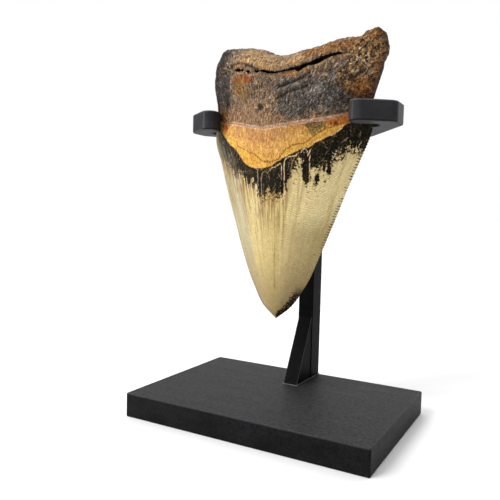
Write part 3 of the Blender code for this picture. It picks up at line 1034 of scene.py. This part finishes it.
# %% [markdown]
# ## The tooth's finish: crown
#
# Old enamel is cream with a satin shine. Thin growth lines cross its right
# half in shallow waves and turn square to the cutting edge. Fine streaks run
# from the root to the tip. A pale greyish flank runs down the left side: its
# own tint, and partly a painted sheen. The crown is painted darker towards the
# tip and at its lower right, a painted shade. All of it is one material, so
# that one zone can run into the next, and it starts with the places and noises
# that every zone uses.

# %% Places and noises
HALF_MM = 45.0                   # about half the tooth's width
HEIGHT_MM = 160.0                # about its height
FACES_APART = 150.0              # keeps the noises of the two faces apart

fossil = Finish(bpy.data.materials.new("fossil_tooth"))
read, step, mix, paint = fossil.read, fossil.step, fossil.mix, fossil.paint
noise, vector, flicker = fossil.noise, fossil.vector, fossil.flicker
across = read("across")
rise = read("up")
height = rise * HEIGHT_MM
face = read("face")
root_gap = read("root_mm")
enamel_gap = read("enamel_mm")
inner_gap = read("inner_mm")
black_gap = read("black_mm")
rim_gap = read("rim_mm")
spot = fossil.node("VectorMath", {"operation": 'SCALE'}, {0: fossil.place(), "Scale": 1 / MM})
side_shift = face * FACES_APART
streak_place = vector(across * HALF_MM, height * 0.07, side_shift)
hair_place = vector(across * HALF_MM, height * 0.28, side_shift)
cloud = noise(spot, 0.09, 4.0)
mottle = noise(spot, 0.30, 5.0, 0.6)
fine = noise(spot, 0.70, 5.0, 0.68)
grain = noise(spot, 1.6, 4.0, 0.65)
fleck = noise(spot, 1.15, 2.0, 0.6)
speckle = noise(spot, 1.7, 1.5)
wander = mottle - 0.5            # lets a border wander
fray = fine - 0.5                # and frays it
streak = noise(streak_place, 0.35, 5.0, 0.62)
thin_streak = noise(streak_place, 0.95, 4.0, 0.62)
hair = noise(hair_place, 0.80, 4.0, 0.62, 0.6)
fine_hair = noise(hair_place, 1.7, 2.0, 0.5, 0.4)

# %% Crown
GROWTH_PITCH = 1.3

right_side = step(across, 0.12, 0.36)
right_half = step(across, 0.0, 0.5)
growth = read("growth") + wander * 2.2
wide_growth = (growth * (np.pi / GROWTH_PITCH)).sine() * step(height, 60.0, 84.0) * 0.25
close_growth = (growth * (2 * np.pi / GROWTH_PITCH)).sine()
lined = step(height, 40.0, 58.0).most(step(height, 37.0, 28.0) * step(across, 0.30, 0.55))
growth_line = ((wide_growth + close_growth) * right_side * lined
               * step(mottle * 0.5 + fine * 0.5, 0.41, 0.53))
above_tip = step(height, 22.0, 60.0) * (1 - right_side * 0.7)
specks = step(noise(spot, 0.55, 1.0), 0.735, 0.765)
flank_line = (step(abs(across + 0.565), 0.022, 0.006) * step(height, 48.0, 66.0)
              * step(height, 92.0, 74.0))
crown = paint(
    shade(156, 144, 108),
    # A greyish band down the left flank: its own tint and partly a painted sheen.
    (step(across + (streak - 0.5) * 0.10, -0.84, -0.74), (170, 160, 128)),
    (step(across + (streak - 0.5) * 0.08, -0.60, -0.54), (190, 169, 113)),
    (right_half, (222, 202, 148)),
    # Darker at the lower right and towards the tip: a painted shade.
    (right_half * step(height, 68.0, 48.0) * 0.8, (162, 144, 98)),
    (step(height, 46.0, 2.0) * 0.85, (132, 114, 76)),
    (step(streak, 0.47, 0.64) * 0.55, (164, 138, 80)),
    (step(streak, 0.46, 0.32) * 0.45 * above_tip, (214, 200, 158)),
    (step(thin_streak, 0.53, 0.68) * 0.45 * (1 - right_side), (146, 114, 62)))
crown = flicker(crown, mottle * 0.3 + fine * 0.2 + speckle * 0.5, 1.4)
crown = mix(1.0, crown, 1.0 + growth_line * (0.20 + 0.16 * step(height, 40.0, 32.0)), 'MULTIPLY')
crown = paint(crown, (specks * 0.7, (86, 58, 30)), (flank_line * 0.6, (126, 96, 54)))

# %% [markdown]
# ## Black stain, veins and rim
#
# Manganese from the sea bed has blackened the enamel below the bourlette. Its
# lower limit hangs in drips, because it crept down the fine streaks, so the
# mask adds streaky noise to the distance from the pencil line. At the left it is
# thin and grey. Cream veins run through it where the enamel is crazed. The
# same black sits in the notches of the serrated edge and by the tip.

# %% Stain
drips = (noise(streak_place, 0.95, 5.0, 0.65) - 0.5) * 34.0
left_part = step(across, -0.22, -0.30)
blots = wander * 11.0 + fray * 22.0 + (fleck - 0.5) * 16.0
ragged = black_gap + drips * (0.04 + 0.76 * left_part) + blots * (1.0 - 0.4 * left_part)
ragged = ragged + (read("blot") * 0.6 - read("bare") * 0.8) * (4.0 + 14.0 * fine)
below_edge = step(enamel_gap + fray * 0.8, 0.25, -0.15)
stain = step(ragged, -0.5, 1.0) * below_edge
near_edge = step(enamel_gap + wander * 6.0, -7.0, -1.5)
inky = flicker(paint(
    shade(13, 12, 8),
    (step(thin_streak, 0.50, 0.66), (40, 33, 18)),
    (near_edge * step(hair, 0.50, 0.66) * 0.55, (92, 70, 44)),
    (step(fleck, 0.57, 0.70) * 0.6, (86, 72, 38)),
    (step(fine, 0.60, 0.72) * 0.4, (72, 60, 32)),
    (step(noise(spot, 0.8, 1.0), 0.70, 0.75) * 0.8, (158, 112, 56))), speckle, 3.0)
greyed = paint(
    shade(24, 22, 20),
    (step(thin_streak * 0.75 + fleck * 0.25, 0.45, 0.55), (100, 91, 70)),
    (step(enamel_gap + wander * 8.0, -13.0, -3.0) * 0.65, (22, 20, 17)),
    (step(hair, 0.56, 0.66) * 0.6, (150, 138, 110)),
    (step(across + (thin_streak - 0.5) * 0.4, -0.86, -0.98) * 0.7, (150, 140, 104)))
left_zone = step(across + wander * 0.25, -0.56, -0.68) * face
halo = step(ragged, -4.5, -0.3) * below_edge * step(fine, 0.40, 0.56)
brown_drips = (step(black_gap + drips * 1.2, -24.0, -1.0) * step(thin_streak, 0.44, 0.58)
               * (1 - stain) * (1 - right_side * 0.85))

craze = fossil.node("TexVoronoi", {"feature": 'DISTANCE_TO_EDGE'}, {
    "Vector": vector(across * HALF_MM + fray * 3.0, height * 0.45 + mottle * 3.0, side_shift),
    "Scale": 0.17})
crazed = (step(craze, 0.045, 0.012) * step(enamel_gap, -16.0, -8.0)
          * step(mottle, 0.48, 0.58) * (1 - left_zone))
vein_gap = read("vein_mm") + fray
drawn = (step(vein_gap, 0.40, 0.15) * step(fine, 0.36, 0.46)
         * (0.35 + 0.65 * step(across, -0.10, 0.10)) * (1 - read("bare")))
dark_vein = read("dark_vein_mm") + fray * 0.7

notch = (rise * (EDGE_LENGTH / SERRATION_PITCH * 2 * np.pi)).sine()
dirty = step(noise(spot, 0.16), 0.28, 0.42)
rim_stain = (step(rim_gap - notch * 1.5 + fray * 1.5, 0.5, 0.0) * dirty
             * step(height, 28.0, 60.0) * step(across, -0.5, 0.5))
tip_stain = (step(rim_gap + fray * 9.0, 4.6, 3.2) * step(height, 21.0, 14.0)
             * step(across, -0.1, 0.3) * step(fleck, 0.32, 0.44))
tip_line = step(rim_gap, 0.7, 0.2) * step(height, 22.0, 10.0)
crown = paint(
    crown,
    (halo * 0.75, (142, 104, 50)),
    (stain, mix(left_zone, inky, greyed)),
    (brown_drips * 0.75, (118, 82, 36)),
    ((crazed * 0.25).most(drawn) * below_edge, (226, 196, 150)),
    (step(dark_vein, 0.6, 0.15) * step(height, 60.0, 80.0), (20, 16, 11)),
    (step(dark_vein, 0.7, 0.0) * step(height, 60.0, 40.0) * 0.45, (112, 82, 40)),
    ((rim_stain * 0.9).most(tip_stain).most(tip_line * 0.8), (28, 22, 15)))

# %% [markdown]
# ## Bourlette
#
# The band between enamel and root has lost its thin enamel and shows golden
# dentine. It is brighter along its lower border, under a thin brown line that
# follows the enamel's V, and pinkish brown above. Fine upright striations
# cross it.

# %% Bourlette
def stains(*listed):
    """Layers for stains of (field, tint, strength), with frayed outlines."""
    return [(step(read(name) + (fray + wander) * 0.91, 0.05, 0.95) * strength, tint)
            for name, tint, strength in listed]


lower = step(inner_gap + wander * 3.4 + fray * 2.4, 0.8, -0.5)
inner_line = (step(abs(inner_gap + wander * 3.4 + fray * 1.4), 0.65, 0.15)
              * step(fine, 0.36, 0.46) * step(across, -0.66, -0.50))
olive_flecks = mix(step(fleck, 0.42, 0.62), shade(58, 50, 30), shade(132, 112, 60))
band = flicker(paint(
    shade(204, 154, 82),
    (step(mottle * 0.4 + cloud * 0.3 + fine * 0.3, 0.42, 0.58), (178, 124, 66)),
    (step(root_gap + wander * 16.0, -9.0, 0.5) * 0.6, (162, 106, 62)),
    (step(inner_gap + wander * 9.0, 9.0, 0.0) * 0.5, (222, 170, 84)),
    (step(hair, 0.52, 0.66) * 0.45, (124, 80, 40)),
    (step(hair, 0.48, 0.34) * 0.50, (240, 198, 122)),
    (lower * 0.7, (214, 166, 68)),
    (lower * step(mottle, 0.48, 0.60) * 0.6, (184, 122, 44)),
    (inner_line * 0.8, (104, 66, 30)),
    (step(fleck, 0.56, 0.72) * 0.35, (246, 206, 128)),
    (step(fleck, 0.46, 0.32) * 0.55, (120, 74, 34)),
    *stains(("rosy", (164, 118, 80), 0.4), ("amber", (170, 90, 34), 0.8)),
    (read("amber") * step(mottle, 0.50, 0.38), (96, 52, 22)),
    (step(read("olive") + fray * 2.2, 0.15, 0.75) * 0.85, olive_flecks),
    (step(vein_gap, 0.5, 0.1) * 0.7, (236, 196, 142))),
    fine_hair * 0.75 + speckle * 0.25, 2.1)

# %% [markdown]
# ## Root
#
# The root is bone: a felt of fibres that fan out from its middle to the two
# lobes. The fan is drawn by two fields, along and across the fibres, and a
# noise that is long in the first and short in the second. Dark and pale fibres
# lie side by side, over broad stains from taupe to ochre, slate and orange.
# The inside of the crack is nearly black.

# %% Root
def fanned(shortening):
    return vector(read("fibre_across"), read("fibre_along") * shortening, side_shift)


fan_place = fanned(0.45)
crinkle_place = fanned(0.36)
strand = noise(fan_place, 1.1, 4.0, 0.65, 0.6)
lump = noise(spot, 0.34, 6.0, 0.74, 0.8)
felt = noise(fan_place, 0.42, 6.0, 0.72, 1.2) * 0.45 + strand * 0.20 + lump * 0.35
wide_crinkle = abs(noise(crinkle_place, 0.30, 3.0, 0.6, 1.4) - 0.5)
close_crinkle = abs(noise(crinkle_place, 0.62, 3.0, 0.6, 1.0) - 0.5)
valleys = step(wide_crinkle, 0.050, 0.006).most(step(close_crinkle, 0.045, 0.005))
crests = step(wide_crinkle * 0.5 + close_crinkle * 0.5, 0.07, 0.13)
patchy = noise(spot, 0.26, 5.0, 0.7, 0.6)
pebbles = noise(spot, 0.50, 4.0, 0.6, 0.8)
thread = noise(fanned(0.30), 1.5, 2.0, 0.6, 0.8)

back = 1 - face
golden = (read("lobe") + read("orange") + read("ochre")).least(1.0)
pitted = (read("lobe") + read("rust") * 0.6).least(1.0)
ridge = step(read("ridge_mm") + fray * 2.0, 2.2, 0.6)
rough = (1 - ridge * 0.75) * (1 - read("tan") * 0.4)
again = 0.55 * step(fine * 0.6 + mottle * 0.4, 0.42, 0.56)
pale = paint(shade(222, 184, 138), (read("dark"), (176, 170, 162)),
             (read("slate"), (128, 122, 116)), (read("yellow") * 0.8, (184, 134, 62)))
root = flicker(paint(
    shade(108, 92, 80),
    (step(cloud * 0.5 + lump * 0.5, 0.40, 0.60), (160, 132, 106)),
    *stains(("pink", (186, 140, 100), 0.9), ("dark", (86, 82, 78), 0.9),
            ("tan", (224, 178, 126), 0.95), ("ash", (150, 136, 118), 0.7),
            ("lobe", (156, 122, 86), 0.85), ("slate", (44, 43, 42), 0.95),
            ("ochre", (176, 118, 52), 0.9), ("rust", (150, 80, 34), 0.8),
            ("orange", (206, 138, 66), 0.85), ("yellow", (150, 108, 38), 0.8),
            ("red", (176, 88, 42), 0.75)),
    (back * step(cloud, 0.42, 0.54) * 0.8, (92, 80, 68)),
    (back * step(lump, 0.50, 0.62) * 0.6, (150, 108, 66)),
    (step(patchy, 0.53, 0.64) * (0.25 + 0.25 * golden), (184, 126, 64)),
    (step(patchy, 0.48, 0.38) * 0.55, (66, 60, 56)),
    # The raised ridges are paler and greyer: partly their own tone and partly a painted highlight
    # on their tops.
    (ridge * 0.6, (122, 110, 96)),
    # Darker where the felt and the crinkles lie low and paler where they stand high, as the bump
    # does: partly dirt in the hollows and partly painted shade and painted highlight.
    (step(felt, 0.50, 0.40) * 0.55 * rough, (46, 39, 34)),
    (step(felt, 0.50, 0.60) * 0.40 * rough, pale),
    (crests * 0.32, pale),
    (valleys * (0.28 + 0.30 * golden) * rough, (22, 18, 15)),
    (pitted * step(pebbles, 0.52, 0.60) * 0.75, (230, 172, 104)),
    (pitted * step(pebbles, 0.49, 0.42) * 0.85, (24, 18, 14)),
    (step(fleck, 0.45, 0.32) * 0.40, (34, 29, 25)),
    (step(fleck, 0.58, 0.70) * 0.45, (224, 196, 160)),
    (golden * step(fine, 0.52, 0.62) * 0.60, (206, 146, 72)),
    (golden * step(fine, 0.47, 0.39) * 0.8, (34, 27, 22)),
    *stains(("ochre", (178, 118, 60), again), ("yellow", (158, 110, 34), again),
            ("red", (186, 84, 38), again), ("orange", (190, 118, 52), again),
            ("slate", (28, 27, 27), again)),
    (read("specks") * step(noise(spot, 0.62, 1.0), 0.57, 0.63), (244, 216, 166)),
    (step(thread, 0.42, 0.33) * (0.5 - back * 0.3), (24, 20, 17)),
    (step(thread, 0.58, 0.67) * (0.5 - back * 0.35), pale)),
    thread * 0.5 + speckle * 0.5, 4.6)

# Painted shade: the root is darker near its rims and along its very top, where the surface turns
# away from the light.
rim_shade = step(rim_gap + wander * 6.0, 3.0, 0.3).most(step(rise + wander * 0.03, 0.990, 1.0))
crack_gap = read("crack_mm") + fray * 0.9
# A light ochre line along the lips of the crack: partly an ochre tint and partly a painted
# highlight.
lip_edge = (step(abs(abs(read("crack_side")) - 2.3), 1.3, 0.2) * step(crack_gap, 4.0, 1.0)
            * step(mottle, 0.40, 0.56))
root = paint(
    root,
    # Dark lines along the fold grooves: a painted shadow under the folds.
    (step(read("fold_mm") + fray * 1.6, 1.1, 0.1) * 0.75, (36, 30, 25)),
    (rim_shade * 0.6, (48, 42, 37)),
    (lip_edge * 0.5, (206, 156, 84)),
    (step(vein_gap, 0.4, 0.1) * step(fine, 0.42, 0.50) * 0.85, (220, 190, 144)),
    (step(crack_gap, 0.28, -0.02), (7, 6, 5)))

# %% [markdown]
# ## The zones together
#
# Enamel, bourlette and root are joined along their lines. A rosy cream seam
# marks the root line. Each zone has its own shine: satin enamel, duller
# dentine and dry bone. Its own small relief goes through a Bump node: growth
# lines and stain edges on the enamel, strands and pores on the root.

# %% Joined finish
lumpy = (lump - 0.5) * 3.0
on_enamel = step(enamel_gap + fray * 2.4 + wander * 2.4, 0.15, -0.15)
on_root = step(root_gap + fray * 2.5 + lumpy, -0.5, 0.5) * (1 - on_enamel)
seam = (step(abs(root_gap + lumpy + fray * 1.2 - 0.2), 1.3, 0.5) * step(mottle, 0.30, 0.42)
        * face * step(across, -0.72, -0.54))
seam_tint = paint(shade(234, 172, 134), (step(fine, 0.48, 0.60), (255, 236, 208)),
                  (read("amber"), (214, 128, 64)))

root_height = (felt * 4.5 * rough + fleck * 1.4 + grain * 0.3 - valleys * 0.5) * on_root
crown_height = (growth_line * 0.05 + thin_streak * 0.12 + fine * 0.10
                - stain * (0.12 + 0.35 * fleck)) * on_enamel
band_height = (hair * 0.5 + fine * 0.45 + fleck * 0.35) * (1 - on_enamel) * (1 - on_root)
fossil.surface(
    Base_Color=paint(band, (on_root, root), (seam * 0.95, seam_tint), (on_enamel, crown)),
    Roughness=0.55 + on_root * 0.25 - on_enamel * (0.17 - 0.20 * stain) + fray * 0.2,
    Normal=fossil.bump(root_height + crown_height + band_height, 1.0, 1.2 * MM),
    Coat_Weight=on_root * 0.15 + on_enamel * (1 - stain) * 0.25,
    Coat_Roughness=0.32, Coat_IOR=1.45, Specular_IOR_Level=0.07)
tooth.data.materials.clear()
tooth.data.materials.append(fossil.block)
stand_for(tooth, "tooth")
print("nodes in the tooth's finish:", len(fossil.tree.nodes))
